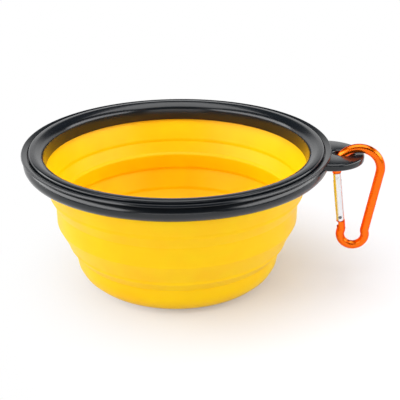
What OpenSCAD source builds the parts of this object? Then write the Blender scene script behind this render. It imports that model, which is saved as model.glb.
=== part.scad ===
// Collapsible silicone bowl with a two-piece rim, a hang tab and a spring clip.
// Lengths are millimetres. The axis of the bowl is Z, its base stands on z = 0,
// and the tab points along +X.

/* [Bowl] */
// Outer radius of the base cup
base_r = 44.8; // [40:0.1:47]
// Height of the stiff base cup
base_h = 12.4; // [11:0.1:18]
// Radius of the rounded bottom edge
base_round = 9; // [5:0.5:10]
// Thickness of the floor
floor_t = 2.2; // [1.6:0.1:3.5]
// Height of the lower fold
lower_fold_h = 14; // [9:0.1:20]
// Outer radius of the stiff middle band
band_r = 52.1; // [49:0.1:54]
// Height of the stiff middle band
band_h = 8.6; // [5:0.1:14]
// Height of the upper fold
upper_fold_h = 15.6; // [10:0.1:22]
// Wall of the stiff bands
wall_t = 2.4; // [2:0.1:3.2]
// Wall of the folds, measured along the radius
fold_t = 1.4; // [0.9:0.1:1.8]

/* [Rim] */
// Largest radius of the rim
rim_r = 64.7; // [62:0.1:80]
// Width of the rim, from its largest radius to its mouth
rim_w = 7.3; // [7:0.1:10]
// Height of the whole rim
rim_h = 8.1; // [7.6:0.1:11]
// Height of the seat that the top ring is welded to
seat_h = 5.4; // [4.8:0.1:5.6]
// Width of the shoulder round the top ring
shoulder_w = 3.1; // [2.9:0.1:3.6]
// How far the shoulder lies below the top of the rim
shoulder_drop = 1.1; // [0.8:0.1:1.3]
// Radius of the bead at the edge of the shoulder
bead_r = 0.7; // [0.5:0.05:0.8]
// How far the bead stands out from the band below it
bead_out = 2; // [1.4:0.1:2.2]
// Radius of the lower edge of the band
under_round = 3.5; // [2.5:0.1:4.2]
// How far the skirt leans in from the mouth to its lower edge
skirt_lean = 2.6; // [1.5:0.1:3.2]
// Thickness of the skirt
skirt_t = 1.1; // [0.8:0.1:1.4]
// Radius of the rounded lip
lip_round = 2; // [1.2:0.1:2.4]
// Thickness of the silicone flange that the rings clamp
flange_t = 1.6; // [1:0.1:2.2]
// Width of the wall that the top ring is welded to
seat_w = 1; // [0.8:0.1:1.4]
// Radius of the outer edge of the top ring
cap_round = 0.9; // [0.5:0.1:1]
// Width of the groove round the top ring
groove_w = 0.4; // [0.3:0.05:0.5]

/* [Tab] */
// Radius of the half-round tab
tab_r = 14.7; // [13.5:0.1:17]
// Thickness of the tab
tab_t = 3; // [2.6:0.1:3.4]
// How far the tab lies below the shoulder
tab_drop = 0.2; // [0.1:0.05:0.5]
// Plate left between the bead and the slot
tab_web = 0.2; // [0.1:0.1:3]
// Slot length, along the radius of the bowl
slot_l = 8.9; // [8.7:0.1:11]
// Slot width
slot_w = 6; // [5.5:0.1:8]
// Width of the bridge between the slot and the tip
bridge_w = 3.8; // [3:0.1:4.4]
// Radius on the edges of the tab and the slot
tab_round = 1; // [0.5:0.1:1]

/* [Clip] */
// Overall length
clip_l = 47.2; // [42:0.1:54]
// Width of the large end
clip_w = 21; // [19:0.1:21.6]
// Width of the small end
bulb_w = 13.8; // [12.7:0.1:15]
// Diameter of the bar
bar_d = 3.6; // [3.4:0.1:4]
// How far the waist stands in from the inside of the small end, on each side
waist_in = 0.3; // [0.2:0.05:1.2]
// Centreline radius of the bends at the waist
waist_r = 3; // [2.5:0.1:4]
// Straight length of the nose above the gate
nose_l = 1; // [0.8:0.1:2.5]
// Straight length of the bar below the gate
stub_l = 3.3; // [2.8:0.1:5]
// Angle that the gate opens, in degrees
gate_open = 28; // [20:1:30]
// Diameter of the pivot rivet
rivet_d = 1.4; // [1:0.1:1.6]
// Diameter of the latch pin
pin_d = 1.2; // [0.8:0.1:1.4]
// Thickness of the tang and the tongue that enter the gate
tang_t = 1.5; // [1.2:0.05:1.8]
// Depth of the latch slot in the gate's free end
latch_depth = 3.4; // [3:0.1:4.5]
// Diameter of the plunger
plunger_d = 1.5; // [1.2:0.05:1.6]
// Length of the plunger
plunger_l = 4.2; // [3:0.1:5]
// Metal left in the gate between the spring's bore and the latch slot
bore_wall = 2; // [1:0.1:4]
// Wire of the spring
spring_wire = 0.25; // [0.2:0.05:0.3]
// Pitch of the spring as fitted
spring_pitch = 0.95; // [0.8:0.05:1.2]

/* [Hidden] */
$fn = 96;

// One overrun serves all cuts
over = 0.5;
// Silicone beside plastic
seat_clear = 0.1;
// Gate slots beside the tang and the tongue, on each side
slot_clear = 0.15;
// Rivet in the tang, on the radius
rivet_clear = 0.06;
// Rivet and latch pin in the gate, on the radius
press_clear = 0.02;
// Latch pin in the notch of the tongue, on the radius
notch_clear = 0.15;
// Plunger in its bore, on the radius
bore_clear = 0.12;
// Plunger above the cam, and spring at each end
touch_gap = 0.05;
// Clip round the bridge of the tab
hang_gap = 0.2;
// Gate below the nose
nose_gap = 0.25;
// Gate heel above the shoulder of the hook
heel_gap = 0.3;
// Rivet and latch pin below the surface of the gate
pin_recess = 0.05;
// The bar swells on its radius by this much in the arch and at the waist, where it is bent hardest
bend_swell = 0.03;
// The slimmer stretches of the bar run into the swollen ones by this length
run_in = 0.3;

// Counts
arc_steps = 8;
bezier_steps = 5;
cam_steps = 10;
spring_rings = 8;
wire_sides = 6;

// Angle that the cam runs on past the open gate, in degrees
cam_spare = 3;

// Shares of a fold: ledge and riser of its height, knee of its width, rounding of its corners
ledge_share = 0.31;
riser_share = 0.08;
knee_share = 0.45;
corner_share = 0.45;
// Share of the bar's diameter that the tongue keeps as its width
tongue_share = 0.75;

// Heights of the bowl
band_z = base_h + lower_fold_h;
upper_z = band_z + band_h;
rim_z = upper_z + upper_fold_h;
seat_z = rim_z + seat_h;
flange_z = seat_z - flange_t;
rim_top_z = rim_z + rim_h;
shoulder_z = rim_top_z - shoulder_drop;
bead_z = shoulder_z - bead_r;
// The thick bands thin down to the folds at this chamfer
thin_step = wall_t - fold_t;

// Radii of the rim
mouth_r = rim_r - rim_w;
skirt_r = mouth_r - skirt_lean;
skirt_slope = skirt_lean / (rim_h - lip_round);
cap_r = rim_r - shoulder_w;
channel_r = cap_r + groove_w;
flange_r = cap_r - seat_w;
outer_r = rim_r - bead_out;

// Tab: it starts inside the wall of the lower ring, and its slot lies between the web and the bridge
root_r = (channel_r + outer_r) / 2;
tab_z = shoulder_z - tab_drop - tab_t;
tip_x = rim_r + tab_web + slot_l + bridge_w;
tab_x = tip_x - tab_r;
slot_x = tip_x - bridge_w - slot_l / 2;
slot_run = slot_l - slot_w;
bridge_x = tip_x - bridge_w / 2;
bridge_z = tab_z + tab_t / 2;
// From the middle of the bridge to its rounded corners
bridge_reach = norm([bridge_w / 2 - tab_round, tab_t / 2 - tab_round]) + tab_round;

// Clip centreline: the arch, two tilted legs, two waist bends and the bulb
arch_r = (clip_w - bar_d) / 2;
bulb_r = (bulb_w - bar_d) / 2;
bulb_drop = clip_l - arch_r - bulb_r - bar_d;
clip_x = bridge_x;
clip_z = bridge_z + bridge_reach + hang_gap + bar_d / 2 - arch_r;
waist_x = bulb_r + waist_r - waist_in;
waist_c = [waist_x, sqrt(pow(bulb_r + waist_r, 2) - pow(waist_x, 2)) - bulb_drop];
// Each leg is a line that passes inside its waist bend and outside the centre of the arch
leg_l = sqrt(pow(norm(waist_c), 2) - pow(arch_r + waist_r, 2));
leg_tilt = atan2(-waist_c.y, waist_c.x) - atan2(leg_l, arch_r + waist_r);
leg_out = [cos(leg_tilt), -sin(leg_tilt)];
leg_down = [-sin(leg_tilt), -cos(leg_tilt)];
bulb_angle = atan2(waist_c.y + bulb_drop, waist_c.x);
waist_sweep = leg_tilt + bulb_angle;
bulb_end = bulb_angle + run_in / bulb_r * 180 / PI;
slim_d = bar_d - 2 * bend_swell;

// Gate frame: its origin is the rivet, its Z runs up the gate and its X points into the clip
heel_r = bar_d / 2;
shoulder_s = heel_r + heel_gap;
pivot_s = leg_l - stub_l - shoulder_s;
gate_l = pivot_s - nose_l - nose_gap;
gate_x = clip_x - arch_r * leg_out.x - pivot_s * leg_down.x;
gate_z = clip_z + arch_r * leg_out.y + pivot_s * leg_down.y;
gate_slot_t = tang_t + 2 * slot_clear;
// A straight bar starts above its point by the run-in, so the stub's point lies that much below its top
stub_s = leg_l - stub_l + run_in;
stub_top = [-arch_r * leg_out.x - stub_s * leg_down.x, arch_r * leg_out.y + stub_s * leg_down.y];

// Cam on the tang: its lift grows evenly with the gate's angle. This wall is left round the rivet's hole
cam_wall = 0.85;
cam_h = rivet_d / 2 + rivet_clear + cam_wall;
cam_gain = plunger_d / 2 - touch_gap;
cam_sweep = gate_open + cam_spare;
cam_end = cam(cam_sweep);
heel_depth = norm(cam_end) + heel_gap;
// Relief below the heel, on the outside of the bar: its height, and the bar left beside the centreline
relief_h = 2.5;
relief_x = 1;

// Latch: the tongue reaches to just above the bottom of the gate's slot
tongue_w = bar_d * tongue_share;
tongue_end = gate_l - latch_depth + heel_gap;
latch_z = gate_l - latch_depth / 2;

// Bore: the plunger rests on the cam, and the spring fills the rest
bore_end = gate_l - latch_depth - bore_wall;
plunger_z = cam_h + touch_gap;
spring_z = plunger_z + plunger_l + touch_gap;
spring_l = bore_end - touch_gap - spring_z;
spring_r = (plunger_d - spring_wire) / 2;
spring_turns = floor((spring_l - 2 * spring_wire) / spring_pitch);

// Points along an arc from angle a to angle b
function arc(c, r, a, b) =
    [for (i = [0:arc_steps]) let (t = a + (b - a) * i / arc_steps) c + r * [cos(t), sin(t)]];

// Corner b of a path a, b, c drawn as a soft curve
function soft(a, b, c) =
    let (p = b + (a - b) * corner_share, q = b + (c - b) * corner_share)
    [
        for (i = [0:bezier_steps])
            let (t = i / bezier_steps)
            pow(1 - t, 2) * p + 2 * t * (1 - t) * b + pow(t, 2) * q
    ];

// Outside of a fold, from radius r0 at height z up to radius r1: a ledge, a riser and a slope
function fold_path(r0, r1, z, h) =
    let (
        knee = r0 + (r1 - r0) * knee_share,
        a = [r0, z],
        b = [knee, z + h * ledge_share],
        c = [knee, z + h * (ledge_share + riser_share)],
        d = [r1, z + h]
    )
    concat([a], soft(a, b, c), soft(b, c, d), [d]);

function reversed(list) = [for (i = [len(list) - 1:-1:0]) list[i]];

function skirt_at(z) = skirt_r + (z - rim_z) * skirt_slope;
function collar_in(z) = skirt_at(z) + skirt_t + seat_clear;
function collar_out(z) = collar_in(z) + fold_t;

// Curve whose reach towards the plunger is cam_h plus cam_gain for each radian turned
function cam(a) =
    let (reach = cam_h + cam_gain * a * PI / 180)
    [reach * sin(a) + cam_gain * cos(a), reach * cos(a) - cam_gain * sin(a)];

// One ring of wire at angle a of the spring, at height z
function wire_ring(a, z, slope) =
    let (out = [cos(a), sin(a), 0], side = [sin(a) * sin(slope), -cos(a) * sin(slope), cos(slope)])
    [
        for (k = [0:wire_sides - 1])
            let (t = 360 * k / wire_sides)
            spring_r * out + [0, 0, z] + spring_wire / 2 * (cos(t) * out + sin(t) * side)
    ];

module turned(points) {
    rotate_extrude() polygon(points);
}

module fold(r0, r1, z, h) {
    path = fold_path(r0, r1, z, h);
    turned(concat(path, [for (p = reversed(path)) [p.x - fold_t, p.y]]));
}

// Half outline of a cutter w wide that leaves the plate's edges rounded
function cutter_path(w) =
    concat(
        [[0, -over], [w + tab_round, -over]],
        arc([w + tab_round, tab_round], tab_round, 270, 180),
        arc([w + tab_round, tab_t - tab_round], tab_round, 180, 90),
        [[w + tab_round, tab_t + over], [0, tab_t + over]]
    );

module slot_cutter() {
    for (x = [-slot_run / 2, slot_run / 2])
        translate([x, 0, 0]) turned(cutter_path(slot_w / 2));
    for (side = [0, 1])
        mirror([0, side, 0])
            translate([-slot_run / 2, 0, 0]) rotate([90, 0, 90])
                linear_extrude(slot_run) polygon(cutter_path(slot_w / 2));
}

module tab_plate() {
    difference() {
        translate([tab_x, 0, 0])
            turned(concat(
                [[0, 0]],
                arc([tab_r - tab_round, tab_round], tab_round, -90, 0),
                arc([tab_r - tab_round, tab_t - tab_round], tab_round, 0, 90),
                [[0, tab_t]]
            ));
        translate([0, 0, -over]) cylinder(r = root_r, h = tab_t + 2 * over);
        translate([slot_x, 0, 0]) slot_cutter();
    }
}

// Places a shape drawn in the plane of the clip, about the centre of its arch
module in_clip() {
    translate([clip_x, 0, clip_z]) rotate([90, 0, 0]) children();
}

// Places a shape drawn in the gate frame
module in_gate() {
    translate([gate_x, 0, gate_z]) rotate([0, -leg_tilt, 0]) children();
}

// A bar of the clip, bent about c or straight from p
module bent_bar(c, r, start, sweep, d) {
    translate(c) rotate(start) rotate_extrude(angle = sweep) translate([r, 0]) circle(d = d);
}

module straight_bar(p, tilt, length) {
    translate(p) rotate(tilt) rotate([90, 0, 0])
        translate([0, 0, -run_in]) cylinder(d = slim_d, h = length + run_in);
}

module cross_pin(d, length) {
    rotate([90, 0, 0]) cylinder(d = d, h = length, center = true);
}

// Extrudes an outline in the gate's XZ plane, centred on Y
module gate_plate(points, t) {
    rotate([90, 0, 0]) translate([0, 0, -t / 2]) linear_extrude(t) polygon(points);
}

module rim_top_ring() {
    color("#2b2f33")
        turned(concat(
            [
                [skirt_r, rim_z],
                [skirt_r + skirt_t, rim_z],
                [skirt_at(seat_z) + skirt_t, seat_z],
                [cap_r, seat_z]
            ],
            arc([cap_r - cap_round, rim_top_z - cap_round], cap_round, 0, 90),
            arc([mouth_r + lip_round, rim_top_z - lip_round], lip_round, 90, 180)
        ));
}

module rim_lower_ring() {
    color("#25282c") {
        turned(concat(
            [[collar_out(rim_z) + seat_clear, rim_z]],
            arc([outer_r - under_round, rim_z + under_round], under_round, -90, 0),
            [[outer_r, bead_z - bead_r]],
            arc([rim_r - bead_r, bead_z], bead_r, -90, 90),
            [
                [channel_r, shoulder_z],
                [channel_r, seat_z],
                [flange_r + seat_clear, seat_z],
                [flange_r + seat_clear, flange_z],
                [collar_out(flange_z) + seat_clear, flange_z]
            ]
        ));
        translate([0, 0, tab_z]) tab_plate();
    }
}

module bowl_collar() {
    color("#f7b500")
        turned([
            [collar_in(rim_z), rim_z],
            [collar_out(rim_z), rim_z],
            [collar_out(flange_z), flange_z],
            [flange_r, flange_z],
            [flange_r, seat_z],
            [collar_in(seat_z), seat_z]
        ]);
}

module upper_fold() {
    color("#fdc010") fold(band_r, collar_out(rim_z), upper_z, upper_fold_h);
}

module bowl_band() {
    color("#f7b500")
        turned([
            [band_r, band_z],
            [band_r, upper_z],
            [band_r - fold_t, upper_z],
            [band_r - wall_t, upper_z - thin_step],
            [band_r - wall_t, band_z + thin_step],
            [band_r - fold_t, band_z]
        ]);
}

module lower_fold() {
    color("#fdc010") fold(base_r, band_r, base_h, lower_fold_h);
}

module bowl_base() {
    edge = min(base_round, base_h - thin_step);
    inner_edge = edge - floor_t;
    inner_r = base_r - wall_t;
    color("#f7b500")
        turned(concat(
            [[0, 0]],
            arc([base_r - edge, edge], edge, -90, 0),
            [[base_r, base_h], [base_r - fold_t, base_h], [inner_r, base_h - thin_step]],
            arc([inner_r - inner_edge, edge], inner_edge, 0, -90),
            [[0, floor_t]]
        ));
}

// Flattened end of the bar that the gate turns on, with the cam at its top
module tang() {
    gate_plate(concat(
        [[-cam_h, -shoulder_s - over], [cam_end.x, -shoulder_s - over]],
        [for (i = [cam_steps:-1:0]) cam(cam_sweep * i / cam_steps)],
        [[-cam_h, cam_h]]
    ), tang_t);
}

// Flattened end of the nose, with a notch that opens into the clip
module tongue() {
    notch = pin_d / 2 + notch_clear;
    difference() {
        translate([-tongue_w / 2, -tang_t / 2, tongue_end])
            cube([tongue_w, tang_t, gate_l + nose_gap + over - tongue_end]);
        translate([0, 0, latch_z]) {
            cross_pin(2 * notch, bar_d);
            translate([0, -bar_d / 2, -notch]) cube([tongue_w, bar_d, 2 * notch]);
        }
    }
}

module clip_hook() {
    color("#f26a10")
        difference() {
            union() {
                in_clip() {
                    straight_bar(arch_r * [-leg_out.x, leg_out.y], leg_tilt, nose_l);
                    bent_bar([0, 0], arch_r, -leg_tilt, 180 + 2 * leg_tilt, bar_d);
                    straight_bar(arch_r * leg_out, -leg_tilt, leg_l + run_in);
                    bent_bar(waist_c, waist_r, 180 - leg_tilt, waist_sweep, bar_d);
                    bent_bar([0, -bulb_drop], bulb_r, 180 - bulb_end, 180 + 2 * bulb_end, slim_d);
                    bent_bar([-waist_c.x, waist_c.y], waist_r, -bulb_angle, waist_sweep, bar_d);
                    straight_bar(stub_top, leg_tilt, stub_l);
                }
                in_gate() {
                    tang();
                    tongue();
                }
            }
            in_gate() {
                cross_pin(rivet_d + 2 * rivet_clear, bar_d);
                translate([-bar_d - relief_x, -bar_d, -shoulder_s - relief_h])
                    cube([bar_d, 2 * bar_d, relief_h]);
            }
        }
}

module clip_gate() {
    color("#d9dbdd")
        in_gate()
            difference() {
                union() {
                    cylinder(d = bar_d, h = gate_l);
                    intersection() {
                        translate([0, 0, -heel_r]) cylinder(d = bar_d, h = bar_d);
                        cross_pin(2 * heel_r, 2 * bar_d);
                    }
                }
                translate([-bar_d, -gate_slot_t / 2, -heel_r - over])
                    cube([2 * bar_d, gate_slot_t, heel_r + over + heel_depth]);
                translate([-bar_d, -gate_slot_t / 2, gate_l - latch_depth])
                    cube([2 * bar_d, gate_slot_t, latch_depth + over]);
                cylinder(d = plunger_d + 2 * bore_clear, h = bore_end);
                cross_pin(rivet_d + 2 * press_clear, 2 * bar_d);
                translate([0, 0, latch_z]) cross_pin(pin_d + 2 * press_clear, 2 * bar_d);
            }
}

module gate_rivet() {
    color("#6f7276") in_gate() cross_pin(rivet_d, bar_d - 2 * pin_recess);
}

module latch_pin() {
    color("#6f7276") in_gate() translate([0, 0, latch_z]) cross_pin(pin_d, bar_d - 2 * pin_recess);
}

module gate_plunger() {
    color("#b9bcc0") in_gate() translate([0, 0, plunger_z]) cylinder(d = plunger_d, h = plunger_l);
}

// Closing spring: one tube swept along a helix
module gate_spring() {
    rings = spring_turns * spring_rings;
    climb = spring_l - 2 * spring_wire;
    slope = atan(climb / (2 * PI * spring_r * spring_turns));
    points = [
        for (i = [0:rings])
            each wire_ring(360 * i / spring_rings, spring_z + spring_wire + climb * i / rings, slope)
    ];
    sides = [
        for (i = [0:rings - 1], k = [0:wire_sides - 1])
            let (a = i * wire_sides + k, b = i * wire_sides + (k + 1) % wire_sides)
            each [[a, a + wire_sides, b], [b, a + wire_sides, b + wire_sides]]
    ];
    first = [for (k = [0:wire_sides - 1]) k];
    last = [for (k = [wire_sides - 1:-1:0]) rings * wire_sides + k];
    color("#9aa0a6") in_gate() polyhedron(points, concat([first, last], sides));
}

rim_top_ring();
rim_lower_ring();
bowl_collar();
upper_fold();
bowl_band();
lower_fold();
bowl_base();
clip_hook();
clip_gate();
gate_rivet();
latch_pin();
gate_plunger();
gate_spring();
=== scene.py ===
# %% [markdown]
# # A folding silicone bowl with a rim clip
#
# The bowl is one yellow silicone moulding with two thin folds, held by a black plastic rim in two
# pieces. A clip of bent aluminium bar hangs in a slot of the rim's tab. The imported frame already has
# every piece at its real size, so the modelling below takes its sizes from the frame and adds the
# soft corners, the grooves and the finish that the eye looks for. Blender works in metres, but the
# outlines are drawn in millimetres, as a maker would read them.

# %% Load the frame
import math

import bmesh
import bpy
from mathutils import Matrix, Vector


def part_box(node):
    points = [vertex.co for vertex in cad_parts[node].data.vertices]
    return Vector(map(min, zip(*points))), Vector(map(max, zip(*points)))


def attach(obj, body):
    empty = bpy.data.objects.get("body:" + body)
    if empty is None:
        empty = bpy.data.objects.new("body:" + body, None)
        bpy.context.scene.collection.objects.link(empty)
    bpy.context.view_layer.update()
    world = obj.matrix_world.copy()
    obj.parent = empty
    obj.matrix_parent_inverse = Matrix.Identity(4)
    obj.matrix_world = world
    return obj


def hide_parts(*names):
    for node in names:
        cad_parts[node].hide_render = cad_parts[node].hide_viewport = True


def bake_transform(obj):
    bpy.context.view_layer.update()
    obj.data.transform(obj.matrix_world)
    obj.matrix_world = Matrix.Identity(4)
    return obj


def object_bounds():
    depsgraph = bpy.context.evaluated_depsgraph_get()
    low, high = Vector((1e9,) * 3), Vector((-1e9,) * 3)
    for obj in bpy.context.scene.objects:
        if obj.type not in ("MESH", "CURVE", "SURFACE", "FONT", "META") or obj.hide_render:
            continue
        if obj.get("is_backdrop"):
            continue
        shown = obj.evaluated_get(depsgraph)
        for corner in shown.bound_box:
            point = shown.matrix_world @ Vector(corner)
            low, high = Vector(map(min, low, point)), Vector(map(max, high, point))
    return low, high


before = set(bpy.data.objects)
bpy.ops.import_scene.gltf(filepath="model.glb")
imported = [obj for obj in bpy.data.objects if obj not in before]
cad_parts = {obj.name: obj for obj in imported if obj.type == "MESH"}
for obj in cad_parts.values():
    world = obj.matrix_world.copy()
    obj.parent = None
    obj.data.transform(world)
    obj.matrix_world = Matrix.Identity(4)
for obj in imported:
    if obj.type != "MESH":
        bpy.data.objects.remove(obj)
cad_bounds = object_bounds()
scene = bpy.context.scene
scene.view_settings.view_transform = "Standard"
MM = 0.001


def box_mm(node):
    """Lowest and highest corner of a CAD node, in millimetres."""
    low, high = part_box(node)
    return low / MM, high / MM


print("CAD nodes:", ", ".join(sorted(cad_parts)))

# %% [markdown]
# ## Colours
#
# A colour picked from a screen is an sRGB value, while a shader works with linear light. Typing linear
# values by hand is hard to read, so every colour below is written as a hex value and one function
# turns it round.


# %% Colour helper
def linear(hex_colour):
    """Linear RGBA of an sRGB hex colour."""
    parts = [int(hex_colour[i:i + 2], 16) / 255 for i in (1, 3, 5)]
    return [p / 12.92 if p <= 0.04045 else ((p + 0.055) / 1.055) ** 2.4 for p in parts] + [1.0]


print(f"Mid grey #808080 is {linear('#808080')[0]:.3f} of white in linear light")

# %% [markdown]
# ## Nodes
#
# A material could be put together by hand in the node editor. In a script, one function that adds a
# node, sets its sockets and links it keeps each material short enough to read as a recipe. Patterns
# are sized in millimetres and follow Object coordinates, so they stay on a piece when it moves.


# %% Node helpers
def per_mm(size):
    """Texture scale that gives features of about this size, in millimetres."""
    return 1 / (size * MM)


def add(tree, kind, sockets=None, links=None, **settings):
    """Adds a node with its settings, sockets and links, which are (node, output) pairs."""
    node = tree.nodes.new(kind)
    for name, value in settings.items():
        setattr(node, name, value)
    for name, value in (sockets or {}).items():
        node.inputs[name].default_value = value
    for name, (source, output) in (links or {}).items():
        tree.links.new(source.outputs[output], node.inputs[name])
    return node


def new_material(name):
    """An empty node material, with its tree and its coordinates."""
    material = bpy.data.materials.new(name)
    material.use_nodes = True
    tree = material.node_tree
    tree.nodes.clear()
    return material, tree, add(tree, "ShaderNodeTexCoord")


print(f"A pattern of one millimetre has a texture scale of {per_mm(1):.0f}")

# %% [markdown]
# ## Silicone
#
# Food-grade silicone rubber is cast in a sand-blasted steel mould, so its skin is satin and not
# glossy, and its mirror light is set to half of the usual. Light goes about a millimetre into it
# before it comes out again, which softens every edge and makes the thin folds glow. Subsurface
# scattering gives that, a slow noise makes the pigment a little uneven, and a fine one gives the
# blasted skin. The real grit is about 0.1 mm, too fine to show here, so it is drawn at 0.5 mm.

# %% Silicone material
PIGMENT_CLOUD = 18.0
BLAST_GRIT = 0.5
BLAST_DEPTH = 0.05
GLOW_DEPTH = 1.2
PIGMENT = ((0.3, "#ffc600"), (0.7, "#ffd000"))


def silicone_material():
    """Satin yellow rubber that glows a little where it is thin."""
    material, tree, coords = new_material("silicone_rubber_moulded_satin")
    cloud = add(
        tree,
        "ShaderNodeTexNoise",
        {"Scale": per_mm(PIGMENT_CLOUD), "Detail": 2.0},
        {"Vector": (coords, "Object")},
    )
    pigment = add(tree, "ShaderNodeValToRGB", links={"Fac": (cloud, "Fac")})
    for stop, (place, shade) in zip(pigment.color_ramp.elements, PIGMENT):
        stop.position, stop.color = place, linear(shade)
    grit = add(
        tree,
        "ShaderNodeTexNoise",
        {"Scale": per_mm(BLAST_GRIT), "Detail": 3.0},
        {"Vector": (coords, "Object")},
    )
    satin = add(tree, "ShaderNodeMapRange", {"To Min": 0.36, "To Max": 0.46}, {"Value": (grit, "Fac")})
    skin = add(
        tree,
        "ShaderNodeBump",
        {"Strength": 0.12, "Distance": BLAST_DEPTH * MM},
        {"Height": (grit, "Fac")},
    )
    shader = add(
        tree,
        "ShaderNodeBsdfPrincipled",
        {
            "IOR": 1.41,
            "Specular IOR Level": 0.25,
            "Subsurface Weight": 0.2,
            "Subsurface Radius": (1.0, 0.7, 0.2),
            "Subsurface Scale": GLOW_DEPTH * MM,
        },
        {"Base Color": (pigment, "Color"), "Roughness": (satin, "Result"), "Normal": (skin, "Normal")},
    )
    add(tree, "ShaderNodeOutputMaterial", links={"Surface": (shader, "BSDF")})
    return material


silicone = silicone_material()
print("Made", silicone.name)

# %% [markdown]
# ## Black plastic
#
# The rim is injection-moulded plastic, pigmented black. A moulded part copies its polished mould, so
# it is fairly glossy, with a faint waviness where the plastic shrank. A plain dark shader would give
# reflections that are too perfect, so waves of about 6 mm bend them and a finer grain, drawn at 0.4 mm
# so that it shows, breaks them up a little.

# %% Rim plastic material
SHRINK_WAVE = 6.0
SHRINK_DEPTH = 0.2
MOULD_GRAIN = 0.4
GLOSS, GLOSS_SPREAD = 0.2, 0.05
BLACKS = ("#090d11", "#0f151b")


def plastic_material():
    """Semi-gloss black whose reflections waver a little."""
    material, tree, coords = new_material("abs_plastic_moulded_black")
    wave = add(
        tree,
        "ShaderNodeTexNoise",
        {"Scale": per_mm(SHRINK_WAVE), "Detail": 1.0},
        {"Vector": (coords, "Object")},
    )
    grain = add(
        tree,
        "ShaderNodeTexNoise",
        {"Scale": per_mm(MOULD_GRAIN), "Detail": 3.0},
        {"Vector": (coords, "Object")},
    )
    gloss = add(
        tree,
        "ShaderNodeMapRange",
        {"To Min": GLOSS - GLOSS_SPREAD, "To Max": GLOSS + GLOSS_SPREAD},
        {"Value": (grain, "Fac")},
    )
    ripple = add(
        tree,
        "ShaderNodeBump",
        {"Strength": 0.08, "Distance": SHRINK_DEPTH * MM},
        {"Height": (wave, "Fac")},
    )
    tone = add(tree, "ShaderNodeValToRGB", links={"Fac": (wave, "Fac")})
    for stop, shade in zip(tone.color_ramp.elements, BLACKS):
        stop.color = linear(shade)
    shader = add(
        tree,
        "ShaderNodeBsdfPrincipled",
        {"IOR": 1.54},
        {"Base Color": (tone, "Color"), "Roughness": (gloss, "Result"), "Normal": (ripple, "Normal")},
    )
    add(tree, "ShaderNodeOutputMaterial", links={"Surface": (shader, "BSDF")})
    return material


rim_plastic = plastic_material()
print("Made", rim_plastic.name)

# %% [markdown]
# ## Anodised aluminium
#
# The hook of the clip is aluminium bar that was tumbled smooth, anodised and dyed orange. The dye sits
# in a clear oxide layer, so a thin coat gives the whitish glints over the coloured metal. A bare metal
# turns white where it is seen at a flat angle. Here the light crosses more dye there, so the tint of
# those edges is set to a pale orange.

# %% Anodised aluminium of the hook
TUMBLE_MARK = 1.2
DYES = ("#ff6a00", "#ff7604")


def anodised_material():
    """Coloured metal with soft glints, orange up to its edges."""
    material, tree, coords = new_material("aluminium_anodised_orange")
    tumble = add(
        tree,
        "ShaderNodeTexNoise",
        {"Scale": per_mm(TUMBLE_MARK), "Detail": 3.0},
        {"Vector": (coords, "Object")},
    )
    dye = add(tree, "ShaderNodeValToRGB", links={"Fac": (tumble, "Fac")})
    for stop, shade in zip(dye.color_ramp.elements, DYES):
        stop.color = linear(shade)
    polish = add(tree, "ShaderNodeMapRange", {"To Min": 0.22, "To Max": 0.36}, {"Value": (tumble, "Fac")})
    shader = add(
        tree,
        "ShaderNodeBsdfPrincipled",
        {
            "Metallic": 1.0,
            "Specular Tint": linear("#ff8a3c"),
            "Coat Weight": 0.2,
            "Coat Roughness": 0.12,
            "Coat IOR": 1.6,
        },
        {"Base Color": (dye, "Color"), "Roughness": (polish, "Result")},
    )
    add(tree, "ShaderNodeOutputMaterial", links={"Surface": (shader, "BSDF")})
    return material


anodised = anodised_material()
print("Made", anodised.name)

# %% [markdown]
# ## Plain metals
#
# The gate is plain aluminium, drawn through a die, which leaves fine lines along the bar. A noise that
# is stretched along the gate gives them. The real lines are finer than 0.1 mm, so they are drawn at
# 0.3 mm to show at all. The pins are steel: the cut ones are grey, and the latch pin, whose ends were
# ground, is nearly as bright as the gate.

# %% Plain aluminium and steel
GATE_LEAN = 8.3
METAL_GRAIN = 0.3
POLISH_SPREAD = 0.06


def bare_metal(name, dark, light, rough, stretch):
    """A plain metal whose grain is drawn out along the gate by stretch."""
    material, tree, coords = new_material(name)
    turned = add(
        tree,
        "ShaderNodeMapping",
        {"Rotation": (0, math.radians(GATE_LEAN), 0), "Scale": (1, 1, 1 / stretch)},
        {"Vector": (coords, "Object")},
    )
    grain = add(
        tree,
        "ShaderNodeTexNoise",
        {"Scale": per_mm(METAL_GRAIN), "Detail": 2.0},
        {"Vector": (turned, "Vector")},
    )
    tone = add(tree, "ShaderNodeValToRGB", links={"Fac": (grain, "Fac")})
    for stop, shade in zip(tone.color_ramp.elements, (dark, light)):
        stop.color = linear(shade)
    polish = add(
        tree,
        "ShaderNodeMapRange",
        {"To Min": rough - POLISH_SPREAD, "To Max": rough + POLISH_SPREAD},
        {"Value": (grain, "Fac")},
    )
    shader = add(
        tree,
        "ShaderNodeBsdfPrincipled",
        {"Metallic": 1.0},
        {"Base Color": (tone, "Color"), "Roughness": (polish, "Result")},
    )
    add(tree, "ShaderNodeOutputMaterial", links={"Surface": (shader, "BSDF")})
    return material


gate_metal = bare_metal("aluminium_drawn_plain", dark="#e2e3e4", light="#f4f5f6", rough=0.26, stretch=20)
pin_steel = bare_metal("steel_cut_plain", dark="#5c5e62", light="#7d8085", rough=0.34, stretch=1)
pin_ground = bare_metal("steel_ground_flush", dark="#cfd0d2", light="#e6e7e8", rough=0.28, stretch=1)
print("Made", gate_metal.name, pin_steel.name, pin_ground.name)

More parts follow.
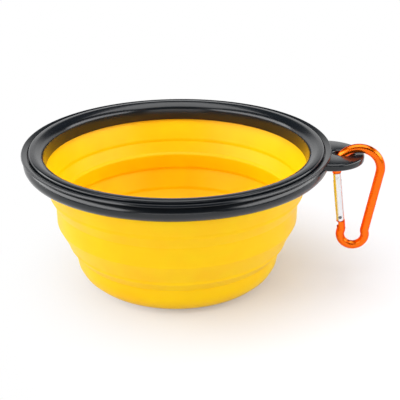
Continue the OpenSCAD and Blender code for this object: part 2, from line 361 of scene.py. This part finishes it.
# %% [markdown]
# ## Drawing an outline
#
# Almost everything on this bowl is round, as if turned on a lathe, so each ring starts as an outline in
# the XZ plane. Its points are the sharp corners that a drawing would give, and a vertex bevel rounds
# them. The bevel asks for the length that it takes off each edge, so the radius of a fillet is turned
# into that length first.

# %% Outline helper
ROUND_STEPS = 5


def outline(bm, corners):
    """Draws a closed outline of (radius, height, fillet) corners, in millimetres."""
    points = [Vector((r, 0, z)) for r, z, _ in corners]
    verts = [bm.verts.new(p) for p in points]
    for i, vert in enumerate(verts):
        bm.edges.new((vert, verts[(i + 1) % len(verts)]))
    for i, (_, _, fillet) in enumerate(corners):
        if fillet:
            before = points[i] - points[i - 1]
            after = points[(i + 1) % len(points)] - points[i]
            bmesh.ops.bevel(
                bm,
                geom=[verts[i]],
                offset=fillet * math.tan(before.angle(after) / 2),
                affect="VERTICES",
                segments=ROUND_STEPS,
                profile=0.5,
                material=-1,
            )


print(f"A fillet is drawn in {ROUND_STEPS} steps")

# %% [markdown]
# ## Turning it
#
# A full spin about Z makes the solid, as a lathe would. A Screw modifier could do it too, but the
# operator gives a finished mesh at once. The merge afterwards closes the poles, where a point of the
# outline lies on the axis. Every new piece then goes through one function that points its faces
# outwards, scales it to metres and shades it smooth between its sharp edges.

# %% Lathe and piece helpers
TURN_STEPS = 160
MERGE_GAP = 0.001
SHARP_ANGLE = 35.0


def lathe(bm):
    """Spins everything in the bmesh once round Z and closes the seam and the poles."""
    bmesh.ops.spin(
        bm,
        geom=bm.verts[:] + bm.edges[:],
        cent=(0, 0, 0),
        axis=(0, 0, 1),
        angle=2 * math.pi,
        steps=TURN_STEPS,
        use_merge=True,
    )
    bmesh.ops.remove_doubles(bm, verts=bm.verts[:], dist=MERGE_GAP)


def make_piece(name, bm, material):
    """Turns a bmesh in millimetres into a finished object in metres, at the origin."""
    bmesh.ops.recalc_face_normals(bm, faces=bm.faces[:])
    bmesh.ops.scale(bm, vec=(MM, MM, MM), verts=bm.verts[:])
    mesh = bpy.data.meshes.new(name)
    bm.to_mesh(mesh)
    bm.free()
    mesh.shade_smooth()
    mesh.set_sharp_from_angle(angle=math.radians(SHARP_ANGLE))
    mesh.materials.append(material)
    piece = bpy.data.objects.new(name, mesh)
    scene.collection.objects.link(piece)
    print(f"{name}: {len(mesh.polygons)} faces")
    return piece


print(f"A turn has {TURN_STEPS} steps of {360 / TURN_STEPS:.2f} degrees")

# %% [markdown]
# ## The silicone wall
#
# The real wall is one moulding, and it turns inside out at two thin folds when the bowl is pressed
# flat. A piece can bend between two bodies only, so the wall is made as two turned pieces that meet
# half way up the stiff middle band, where nothing moves. Radii and heights come from the boxes of the
# imported nodes. Thicknesses can't be read from a box, so they are named here.

# %% Sizes of the silicone
_, base_high = box_mm("bowl_base")
band_low, band_high = box_mm("bowl_band")
_, fold_high = box_mm("upper_fold")
_, flange_high = box_mm("bowl_collar")
base_r, base_h = base_high.x, base_high.z
band_r, band_z, upper_z = band_high.x, band_low.z, band_high.z
collar_r, rim_z = fold_high.x, fold_high.z
flange_r, seat_z = flange_high.x, flange_high.z

BASE_ROUND = 9.0
FLOOR_T = 2.2
WALL_T = 2.4
FOLD_T = 1.4
FLANGE_T = 1.6
SKIRT_RUN, SKIRT_RISE = 2.6, 6.1
split_z = (band_z + upper_z) / 2
thin_step = WALL_T - FOLD_T
flange_z = seat_z - FLANGE_T
skirt_slope = SKIRT_RUN / SKIRT_RISE
print(f"Base {base_r:.1f} mm, band {band_r:.1f} mm, collar {collar_r:.1f} mm in radius")

# %% [markdown]
# Each fold is a ledge, a short riser and a slope, which is what lets the wall roll through. Both folds
# have the same form at different sizes, so its two corners are placed by shares of the fold's width
# and height. The inner side repeats them one wall thickness further in.

# %% Corners of a fold
KNEE_SHARE = 0.45
LEDGE_SHARE = 0.31
RISER_SHARE = 0.08
KNEE_ROUND = 1.4
SLOPE_ROUND = 2.5
CREASE_ROUND = 0.9


def fold_corners(r0, r1, z0, z1):
    """The two corners between a fold's ledge, its short riser and its slope."""
    knee = r0 + (r1 - r0) * KNEE_SHARE
    ledge_z = z0 + (z1 - z0) * LEDGE_SHARE
    slope_z = ledge_z + (z1 - z0) * RISER_SHARE
    return [(knee, ledge_z, KNEE_ROUND), (knee, slope_z, SLOPE_ROUND)]


def inside(corners):
    """The same corners on the inner side of the wall, in the other order."""
    return [(r - FOLD_T, z, fillet) for r, z, fillet in reversed(corners)]


lower_fold = fold_corners(base_r, band_r, base_h, band_z)
upper_fold = fold_corners(band_r, collar_r, upper_z, rim_z)
print(f"Folds have their knees at {lower_fold[0][0]:.1f} and {upper_fold[0][0]:.1f} mm in radius")

# %% [markdown]
# The lower piece is the base cup, the lower fold and half of the band. Its bottom edge has a large
# round, and the wall thins where the fold begins.


def lower_silicone():
    bm = bmesh.new()
    cup_in = base_r - WALL_T
    band_in = band_r - WALL_T
    outer = [(0, 0, 0), (base_r, 0, BASE_ROUND), (base_r, base_h, CREASE_ROUND)]
    outer += lower_fold + [(band_r, band_z, CREASE_ROUND), (band_r, split_z, 0)]
    inner = [(band_in, split_z, 0), (band_in, band_z + thin_step, CREASE_ROUND)]
    inner += [(band_r - FOLD_T, band_z, CREASE_ROUND)] + inside(lower_fold)
    inner += [(base_r - FOLD_T, base_h, CREASE_ROUND), (cup_in, base_h - thin_step, CREASE_ROUND)]
    inner += [(cup_in, FLOOR_T, BASE_ROUND - FLOOR_T), (0, FLOOR_T, 0)]
    outline(bm, outer + inner)
    lathe(bm)
    return make_piece("silicone_lower", bm, silicone)


lower_piece = lower_silicone()
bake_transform(lower_piece)
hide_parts("bowl_base", "lower_fold")

# %% [markdown]
# The upper piece is the other half of the band, the upper fold, and the collar with the flange that
# the two plastic rings clamp. The collar leans out with the skirt of the rim's top ring.


def upper_silicone():
    bm = bmesh.new()
    collar_in = collar_r - FOLD_T
    band_in = band_r - WALL_T
    outer = [(band_r, split_z, 0), (band_r, upper_z, CREASE_ROUND)] + upper_fold
    outer += [(collar_r, rim_z, 0), (collar_r + (flange_z - rim_z) * skirt_slope, flange_z, 0)]
    outer += [(flange_r, flange_z, 0), (flange_r, seat_z, 0)]
    inner = [(collar_in + (seat_z - rim_z) * skirt_slope, seat_z, 0), (collar_in, rim_z, 0)]
    inner += inside(upper_fold) + [(band_r - FOLD_T, upper_z, CREASE_ROUND)]
    inner += [(band_in, upper_z - thin_step, CREASE_ROUND), (band_in, split_z, 0)]
    outline(bm, outer + inner)
    lathe(bm)
    return make_piece("silicone_upper", bm, silicone)


upper_piece = upper_silicone()
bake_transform(upper_piece)
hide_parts("bowl_collar", "upper_fold", "bowl_band")

# %% [markdown]
# ## Top ring of the rim
#
# The top ring sits in the lower one. It has a wide round lip and a skirt that reaches down inside the
# mouth. The skirt is nearly upright at its lower edge and leans out towards the lip, so its upper
# part mirrors the studio and its lower part mirrors the yellow bowl. The corner between the two is
# worked out from their leans, which are easier to read off a photograph than the corner is.

# %% Top ring
_, top_high = box_mm("rim_top_ring")
cap_r, rim_top = top_high.x, top_high.z

SKIRT_R = 54.8
SKIRT_T = 1.1
SKIRT_LEAN = 7.0
LIP_LEAN = 65.0
LIP_R = 58.95
SKIRT_ROUND = 3.0
LIP_ROUND = 3.0
CAP_ROUND = 0.9
EDGE_ROUND = 0.25


def crossing(a, lean_a, b, lean_b):
    """Where two lines of an outline meet, each given by a point and its lean from upright."""
    slope_a, slope_b = math.tan(math.radians(lean_a)), math.tan(math.radians(lean_b))
    z = (b[0] - a[0] + a[1] * slope_a - b[1] * slope_b) / (slope_a - slope_b)
    return a[0] + (z - a[1]) * slope_a, z


def top_ring():
    bm = bmesh.new()
    skirt_out = SKIRT_R + SKIRT_T
    bend = crossing((SKIRT_R, rim_z), SKIRT_LEAN, (LIP_R, rim_top), LIP_LEAN)
    outline(
        bm,
        [
            (SKIRT_R, rim_z, EDGE_ROUND),
            (skirt_out, rim_z, EDGE_ROUND),
            (skirt_out + (seat_z - rim_z) * skirt_slope, seat_z, 0),
            (cap_r, seat_z, 0),
            (cap_r, rim_top, CAP_ROUND),
            (LIP_R, rim_top, LIP_ROUND),
            (*bend, SKIRT_ROUND),
        ],
    )
    lathe(bm)
    return make_piece("rim_top", bm, rim_plastic)


top_piece = top_ring()
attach(top_piece, "rim")
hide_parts("rim_top_ring")

# %% [markdown]
# ## Lower ring of the rim
#
# The outside of the lower ring is one round roll, the band that a hand grips. A vertex bevel comes
# close to a circle only for turns up to about a right angle, so the roll is drawn as two fillets that
# meet at its widest point. Their radius follows from the height of the roll and from how far each of
# its ends turns in.

# %% Round band of the lower ring
_, ring_high = box_mm("rim_lower_ring")
rim_r, shoulder_z, tip_x = ring_high.y, ring_high.z, ring_high.x

BAND_IN = 0.7
BAND_LEAN = 60.0
UNDER_LEAN = 80.0


def band_roll(low_z, top_z):
    """The corners of the round band, from its lower edge to the groove under the bead."""
    lean, under = math.radians(BAND_LEAN), math.radians(UNDER_LEAN)
    radius = (top_z - low_z) / (math.sin(lean) + math.sin(under))
    widest_r = rim_r - BAND_IN
    widest_z = top_z - radius * math.sin(lean)
    return [
        (widest_r - radius * (1 - math.cos(under)), low_z, 0),
        (widest_r, widest_z - radius * math.tan(under / 2), radius),
        (widest_r, widest_z + radius * math.tan(lean / 2), radius),
        (widest_r - radius * (1 - math.cos(lean)), top_z, 0),
    ]


print(f"Rim {rim_r:.1f} mm in radius, band {rim_r - BAND_IN:.1f} mm")

# %% [markdown]
# The upper edge of this ring is a raised bead with a face that leans in, and a groove parts it from the
# band below. Inside lies the channel that holds the top ring and the silicone's flange. The narrow gap
# round the top ring stays open, because it draws the dark line that shows the rim is two pieces.

# %% Lower ring
BEAD_T = 0.9
BEAD_ROUND = 0.2
BEAD_RISE = 0.7
BEAD_LEAN = 0.45
GROOVE_DROP = 0.7
SEAT_CLEAR = 0.1
CHANNEL_GAP = 0.4
channel_r = cap_r + CHANNEL_GAP


def lower_ring():
    bm = bmesh.new()
    collar_out = collar_r + SEAT_CLEAR
    flange_out = flange_r + SEAT_CLEAR
    bead_top = shoulder_z + BEAD_RISE
    bead_low = bead_top - BEAD_T
    outline(
        bm,
        [
            (collar_out, rim_z, 0),
            *band_roll(rim_z, bead_low - GROOVE_DROP),
            (rim_r, bead_low, BEAD_ROUND),
            (rim_r - BEAD_LEAN, bead_top, BEAD_ROUND),
            (channel_r, shoulder_z, EDGE_ROUND),
            (channel_r, seat_z, 0),
            (flange_out, seat_z, 0),
            (flange_out, flange_z, 0),
            (collar_out + (flange_z - rim_z) * skirt_slope, flange_z, 0),
        ],
    )
    lathe(bm)
    return make_piece("rim_lower", bm, rim_plastic)


ring_piece = lower_ring()
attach(ring_piece, "rim")
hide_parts("rim_lower_ring")

# %% [markdown]
# ## Hang tab
#
# The tab is moulded with the lower ring: a flat half-round plate with a slot for the clip. It could be
# cut from a disc with a Boolean, but that leaves ragged edges to round. So its outline and the slot's
# are drawn as a pen would draw them, as arcs and straight lines that each go on from the tip of the
# last one.


# %% Lines of the tab
def verts_of(geom):
    """The vertices among the results of an operator."""
    return [g for g in geom if isinstance(g, bmesh.types.BMVert)]


def arc_edge(bm, tip, centre, degrees, steps):
    """Spins the tip of a flat line about a centre, and gives its new tip."""
    angle = math.radians(degrees)
    done = bmesh.ops.spin(bm, geom=[tip], cent=centre, axis=(0, 0, 1), angle=angle, steps=steps)
    return verts_of(done["geom_last"])[0]


def straight_edge(bm, tip, x):
    """Draws a line along X from the tip of a flat line, and gives its new tip."""
    tip = bmesh.ops.extrude_vert_indiv(bm, verts=[tip])["verts"][0]
    tip.co.x = x
    return tip


print("Made a pen that draws arcs and straight lines")

# %% [markdown]
# The tab's outline is a round end and an arc that is buried in the wall of the ring, which closes it.
# The slot is two half circles and two straight runs. Both loops have the same number of points, so
# that a bridge between them will be even.

# %% Outlines of the tab and its slot
TAB_R = 14.7
TAB_T = 3.0
ROOT_IN = 2.0
SLOT_L = 8.9
SLOT_W = 6.0
BRIDGE_W = 3.8
HALF_TURN = 180.0
LOOP_POINTS = 64
ROOT_STEPS = LOOP_POINTS // 4
SLOT_END_STEPS = LOOP_POINTS // 2 - 1
tab_z = shoulder_z - TAB_T


def tab_loop(bm):
    """The outline of the tab, from where its round end meets the root arc."""
    root_r = (channel_r + rim_r - ROOT_IN) / 2
    tab_x = tip_x - TAB_R
    root_x = (tab_x ** 2 + root_r ** 2 - TAB_R ** 2) / (2 * tab_x)
    root_y = math.sqrt(root_r ** 2 - root_x ** 2)
    tab_angle = math.degrees(math.atan2(root_y, root_x - tab_x))
    root_angle = math.degrees(math.atan2(root_y, root_x))
    start = bm.verts.new((root_x, -root_y, tab_z))
    tip = arc_edge(bm, start, (tab_x, 0, tab_z), 2 * tab_angle, LOOP_POINTS - ROOT_STEPS)
    arc_edge(bm, tip, (0, 0, tab_z), -2 * root_angle, ROOT_STEPS)


def slot_loop(bm):
    """The outline of the slot, from its end by the tip of the tab."""
    slot_x = tip_x - BRIDGE_W - SLOT_L / 2
    half_run = (SLOT_L - SLOT_W) / 2
    far_x, near_x = slot_x + half_run, slot_x - half_run
    start = bm.verts.new((far_x, -SLOT_W / 2, tab_z))
    tip = arc_edge(bm, start, (far_x, 0, tab_z), HALF_TURN, SLOT_END_STEPS)
    tip = straight_edge(bm, tip, near_x)
    tip = arc_edge(bm, tip, (near_x, 0, tab_z), HALF_TURN, SLOT_END_STEPS)
    straight_edge(bm, tip, far_x)


print(f"Tab of {TAB_R:.1f} mm in radius, with a slot of {SLOT_L:.1f} by {SLOT_W:.1f} mm")

# %% [markdown]
# A bridge between the two loops makes the flat face, an extrusion gives it thickness, and a bevel
# rounds its edges, as the mould does. Only level edges between a flat face and a side are picked for
# the bevel, so the sides themselves stay smooth.

# %% Plate of the tab
TAB_ROUND = 0.95
CORNER_ANGLE = 60.0
LEVEL_GAP = 0.1


def is_level_corner(edge):
    """True for a level edge at which two faces meet at a clear angle."""
    low, high = edge.verts
    if len(edge.link_faces) != 2 or abs(low.co.z - high.co.z) >= LEVEL_GAP:
        return False
    return edge.calc_face_angle() > math.radians(CORNER_ANGLE)


def tab_plate():
    bm = bmesh.new()
    tab_loop(bm)
    slot_loop(bm)
    bmesh.ops.remove_doubles(bm, verts=bm.verts[:], dist=MERGE_GAP)
    bmesh.ops.bridge_loops(bm, edges=bm.edges[:])
    raised = bmesh.ops.extrude_face_region(bm, geom=bm.faces[:])["geom"]
    bmesh.ops.translate(bm, vec=(0, 0, TAB_T), verts=verts_of(raised))
    bmesh.ops.recalc_face_normals(bm, faces=bm.faces[:])
    bmesh.ops.bevel(
        bm,
        geom=[edge for edge in bm.edges if is_level_corner(edge)],
        offset=TAB_ROUND,
        affect="EDGES",
        segments=ROUND_STEPS,
        profile=0.5,
        material=-1,
    )
    return make_piece("rim_tab", bm, rim_plastic)


tab_piece = tab_plate()
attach(tab_piece, "rim")

# %% [markdown]
# ## The clip
#
# The hook is bent from round bar, and its gate is a bored rod on a rivet. Both are exact in the frame,
# with the flattened ends, the cam and the bores that the gate needs, so drawing them again would gain
# nothing. These nodes stay as they are and get their metals.

# %% Metals on the clip's pieces
CLIP_METALS = {
    "clip_hook": anodised,
    "clip_gate": gate_metal,
    "gate_rivet": pin_steel,
    "latch_pin": pin_ground,
    "gate_plunger": pin_steel,
}
for node, metal in CLIP_METALS.items():
    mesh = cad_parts[node].data
    mesh.materials.clear()
    mesh.materials.append(metal)
print(f"{len(CLIP_METALS)} pieces of the clip have their metals")

# %% [markdown]
# A coil spring sits in the gate's bore, behind the plunger. It is wound from wire, so here a small
# circle is spun round the axis of the gate and lifted as it turns. A curve with a bevel could draw it
# too, but the spin gives a mesh whose ends close cleanly.

# %% Shape of the spring
WIRE_D = 0.25
WIRE_SIDES = 8
COIL_R = 0.625
COIL_TURNS = 8
COIL_STEPS = 24


def coil_spring(start, along, length):
    bm = bmesh.new()
    upright = Matrix.Translation((COIL_R, 0, WIRE_D / 2)) @ Matrix.Rotation(math.pi / 2, 4, "X")
    wire = bmesh.ops.create_circle(bm, segments=WIRE_SIDES, radius=WIRE_D / 2, matrix=upright)
    steps = COIL_TURNS * COIL_STEPS
    bmesh.ops.spin(
        bm,
        geom=wire["verts"] + bm.edges[:],
        cent=(0, 0, 0),
        axis=(0, 0, 1),
        dvec=(0, 0, (length - WIRE_D) / steps),
        angle=2 * math.pi * COIL_TURNS,
        steps=steps,
    )
    bmesh.ops.holes_fill(bm, edges=[e for e in bm.edges if e.is_boundary], sides=0)
    tilted = Matrix.Translation(start) @ along.to_track_quat("Z", "Y").to_matrix().to_4x4()
    bmesh.ops.transform(bm, matrix=tilted, verts=bm.verts[:])
    return make_piece("gate_coil", bm, pin_steel)


print(f"Coil of {COIL_TURNS} turns, {2 * COIL_R + WIRE_D:.2f} mm across")

# %% [markdown]
# The spring's place follows from its neighbours. The rivet and the latch pin give the axis of the
# gate. The coil starts on the end of the plunger and stops at the end of the bore, which leaves a
# solid wall below the slot that the latch pin crosses.

# %% Place of the spring
PLUNGER_L = 4.2
LATCH_DEPTH = 3.4
BORE_WALL = 2.0
TOUCH_GAP = 0.05


def middle_mm(node):
    """Middle of a CAD node, in millimetres."""
    low, high = box_mm(node)
    return (low + high) / 2


latch_pin = middle_mm("latch_pin")
gate_axis = (latch_pin - middle_mm("gate_rivet")).normalized()
coil_start = middle_mm("gate_plunger") + gate_axis * (PLUNGER_L / 2 + TOUCH_GAP)
coil_l = (latch_pin - coil_start).length - LATCH_DEPTH / 2 - BORE_WALL - TOUCH_GAP
spring_piece = coil_spring(coil_start, gate_axis, coil_l)
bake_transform(spring_piece)
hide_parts("gate_spring")
print(f"Spring of {coil_l:.2f} mm in the gate")

# %% [markdown]
# ## Camera
#
# The photograph's view was found by fitting a camera to the rim, the base and the wall: it looks down
# by 24 degrees from a third of a metre away, turned a little to the side of the tab. The lens follows
# from its focal length in pixels. The picture's optical centre lies off its middle, which the shift of
# the lens takes up, because turning the camera instead would change the perspective.

# %% Camera
VIEW_TURN = 11.5
VIEW_DOWN = 24.42
VIEW_ROLL = 0.81
VIEW_DISTANCE = 320 * MM
VIEW_TARGET = Vector((0, 0, 30 * MM))
NEAR_CLIP = 10 * MM
SENSOR = 36.0
FOCAL_PX, IMAGE_PX = 730.0, 400.0
CENTRE_PX = (176.9, 203.0)


def direction(side, up):
    """Unit vector that points to the side of the front and up from the table, in degrees."""
    side, up = math.radians(side), math.radians(up)
    return Vector((math.sin(side) * math.cos(up), -math.cos(side) * math.cos(up), math.sin(up)))


camera = bpy.data.cameras.new("camera")
camera.sensor_width = SENSOR
camera.lens = FOCAL_PX / IMAGE_PX * SENSOR
camera.shift_x = 0.5 - CENTRE_PX[0] / IMAGE_PX
camera.shift_y = CENTRE_PX[1] / IMAGE_PX - 0.5
camera.clip_start = NEAR_CLIP
back = direction(VIEW_TURN, VIEW_DOWN)
place = Matrix.Translation(VIEW_TARGET + back * VIEW_DISTANCE)
facing = (-back).to_track_quat("-Z", "Y").to_matrix().to_4x4()
eye = bpy.data.objects.new("camera", camera)
eye.matrix_world = place @ facing @ Matrix.Rotation(math.radians(-VIEW_ROLL), 4, "Z")
scene.collection.objects.link(eye)
scene.camera = eye
print(f"Camera lens {camera.lens:.1f} mm")

# %% [markdown]
# ## Table
#
# The bowl stands on a matt white table. Lighting a table until it is pure white would wash out the
# yellow, so rays that look at the table, from the camera, a mirror or glass, see it fade to plain
# white, while light that bounces off it meets a pale grey. The fade is centred on the side of the
# tab, where the bowl's soft shadow falls, so the shadow stays.

# %% Table material
FLOOR_GLOW = 0.2
SHADE_CENTRE = (75 * MM, 15 * MM, 0)
WHITE_FROM, WHITE_TO = 70 * MM, 160 * MM


def seen_rays(tree):
    """1 for rays that look at the stage from the camera, a mirror or a glass, and 0 for the rest."""
    path = add(tree, "ShaderNodeLightPath")
    mirror = add(
        tree,
        "ShaderNodeMath",
        links={0: (path, "Is Glossy Ray"), 1: (path, "Is Transmission Ray")},
        operation="MAXIMUM",
    )
    return add(
        tree,
        "ShaderNodeMath",
        links={0: (path, "Is Camera Ray"), 1: (mirror, 0)},
        operation="MAXIMUM",
    )


def table_material():
    """Matt white that keeps the shadow near the bowl and is plain white further off."""
    material, tree, coords = new_material("matt_white_table")
    shade = add(tree, "ShaderNodeBsdfDiffuse", {"Color": linear("#ccccd0")})
    glow = add(tree, "ShaderNodeEmission", {"Color": linear("#ffffff"), "Strength": FLOOR_GLOW})
    near = add(tree, "ShaderNodeAddShader", links={0: (shade, 0), 1: (glow, 0)})
    white = add(tree, "ShaderNodeEmission", {"Color": linear("#ffffff"), "Strength": 1.0})
    away = add(
        tree,
        "ShaderNodeVectorMath",
        {1: SHADE_CENTRE},
        {0: (coords, "Object")},
        operation="DISTANCE",
    )
    fade = add(
        tree,
        "ShaderNodeMapRange",
        {"From Min": WHITE_FROM, "From Max": WHITE_TO},
        {"Value": (away, "Value")},
        interpolation_type="SMOOTHSTEP",
    )
    pale = add(tree, "ShaderNodeMixShader", links={0: (fade, "Result"), 1: (near, 0), 2: (white, 0)})
    plain = add(tree, "ShaderNodeBsdfDiffuse", {"Color": linear("#d0d0d2")})
    both = add(tree, "ShaderNodeMixShader", links={0: (seen_rays(tree), 0), 1: (plain, 0), 2: (pale, 0)})
    add(tree, "ShaderNodeOutputMaterial", links={"Surface": (both, 0)})
    return material


table_white = table_material()
print("Made", table_white.name)

# %% [markdown]
# The table itself is one large face. It lies a hair below the base, because two faces in the same plane
# would flicker, and it is declared as part of the stage, so that it isn't taken for a piece of the bowl.

# %% Floor
FLOOR_SIZE = 3.0
FLOOR_GAP = 0.2 * MM

bm = bmesh.new()
bmesh.ops.create_grid(bm, x_segments=1, y_segments=1, size=FLOOR_SIZE)
floor_mesh = bpy.data.meshes.new("floor")
bm.to_mesh(floor_mesh)
bm.free()
floor_mesh.materials.append(table_white)
floor = bpy.data.objects.new("floor", floor_mesh)
floor.location.z = -FLOOR_GAP
scene.collection.objects.link(floor)
floor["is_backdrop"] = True
print(f"Table of {len(floor_mesh.polygons)} face, {FLOOR_GAP / MM:.1f} mm under the bowl")

# %% [markdown]
# ## Backdrop
#
# The photograph has a white backdrop, and the glossy rim mirrors what stands round it: white low down
# and behind the bowl, and a dark room above and in front. A world can show both. The camera sees white
# everywhere, mirrors see white that fades to dark with height, and lower on the camera's side. The
# light that the sky gives the bowl is dim and even.

# %% Sky
SKY_LIGHT = 0.25
DARK_ROOM = 0.05
BACKDROP_RISE = 0.35
FADE_FROM, FADE_TO = 0.01, 0.16


def sky():
    """The world: a white backdrop for the camera, a dark room in mirrors and a dim light."""
    world = bpy.data.worlds.new("studio")
    scene.world = world
    world.use_nodes = True
    tree = world.node_tree
    tree.nodes.clear()
    coords = add(tree, "ShaderNodeTexCoord")
    height = add(
        tree,
        "ShaderNodeVectorMath",
        {1: direction(VIEW_TURN, 0) * BACKDROP_RISE + Vector((0, 0, 1))},
        {0: (coords, "Generated")},
        operation="DOT_PRODUCT",
    )
    fade = add(
        tree,
        "ShaderNodeMapRange",
        {"From Min": FADE_FROM, "From Max": FADE_TO, "To Min": 1.0, "To Max": DARK_ROOM},
        {"Value": (height, "Value")},
        interpolation_type="SMOOTHSTEP",
    )
    path = add(tree, "ShaderNodeLightPath")
    white = add(
        tree,
        "ShaderNodeMath",
        links={0: (fade, "Result"), 1: (path, "Is Camera Ray")},
        operation="MAXIMUM",
    )
    backdrop = add(tree, "ShaderNodeBackground", {"Color": linear("#ffffff")}, {"Strength": (white, 0)})
    light = add(tree, "ShaderNodeBackground", {"Color": linear("#ffffff"), "Strength": SKY_LIGHT})
    both = add(
        tree,
        "ShaderNodeMixShader",
        links={0: (seen_rays(tree), 0), 1: (light, 0), 2: (backdrop, 0)},
    )
    add(tree, "ShaderNodeOutputWorld", links={"Surface": (both, 0)})
    return world


print("Made the world", sky().name)

# %% [markdown]
# ## Soft boxes
#
# Four soft boxes light the bowl: a broad one at each side, a low narrow one in front that draws the
# bright line along the rim, and one above that fills the inside. A lamp's power spreads over its
# cloth, so each box is given by how bright its cloth looks, and its power is worked out from that. A
# box can then change its size and the line that it draws keeps its brightness.

# %% Soft boxes
BOX_DISTANCE = 1.2


def soft_box(name, side, up, size, radiance):
    """An area lamp at an angle beside the camera and above the table."""
    lamp = bpy.data.lights.new(name, "AREA")
    lamp.shape = "RECTANGLE"
    lamp.size, lamp.size_y = size
    lamp.energy = radiance * math.pi * lamp.size * lamp.size_y
    towards = direction(VIEW_TURN + side, up)
    box = bpy.data.objects.new(name, lamp)
    box.location = VIEW_TARGET + towards * BOX_DISTANCE
    box.rotation_mode = "QUATERNION"
    box.rotation_quaternion = towards.to_track_quat("Z", "Y")
    scene.collection.objects.link(box)
    print(f"{name}: {lamp.energy:.1f} W")


soft_box("left_box", side=-80, up=24, size=(2.2, 0.5), radiance=4.4)
soft_box("right_box", side=80, up=24, size=(1.6, 0.5), radiance=3.9)
soft_box("front_box", side=0, up=8, size=(1.2, 0.2), radiance=2.0)
soft_box("top_box", side=0, up=88, size=(1.4, 1.4), radiance=2.6)

# %% [markdown]
# ## Sizes
#
# The boxes of the CAD part and of the dressed bowl are both printed, so that they can be compared.

# %% Sizes and finish
for name, (low, high) in {"CAD": cad_bounds, "Dressed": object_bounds()}.items():
    print(name, "size in mm:", [round((b - a) / MM, 1) for a, b in zip(low, high)])
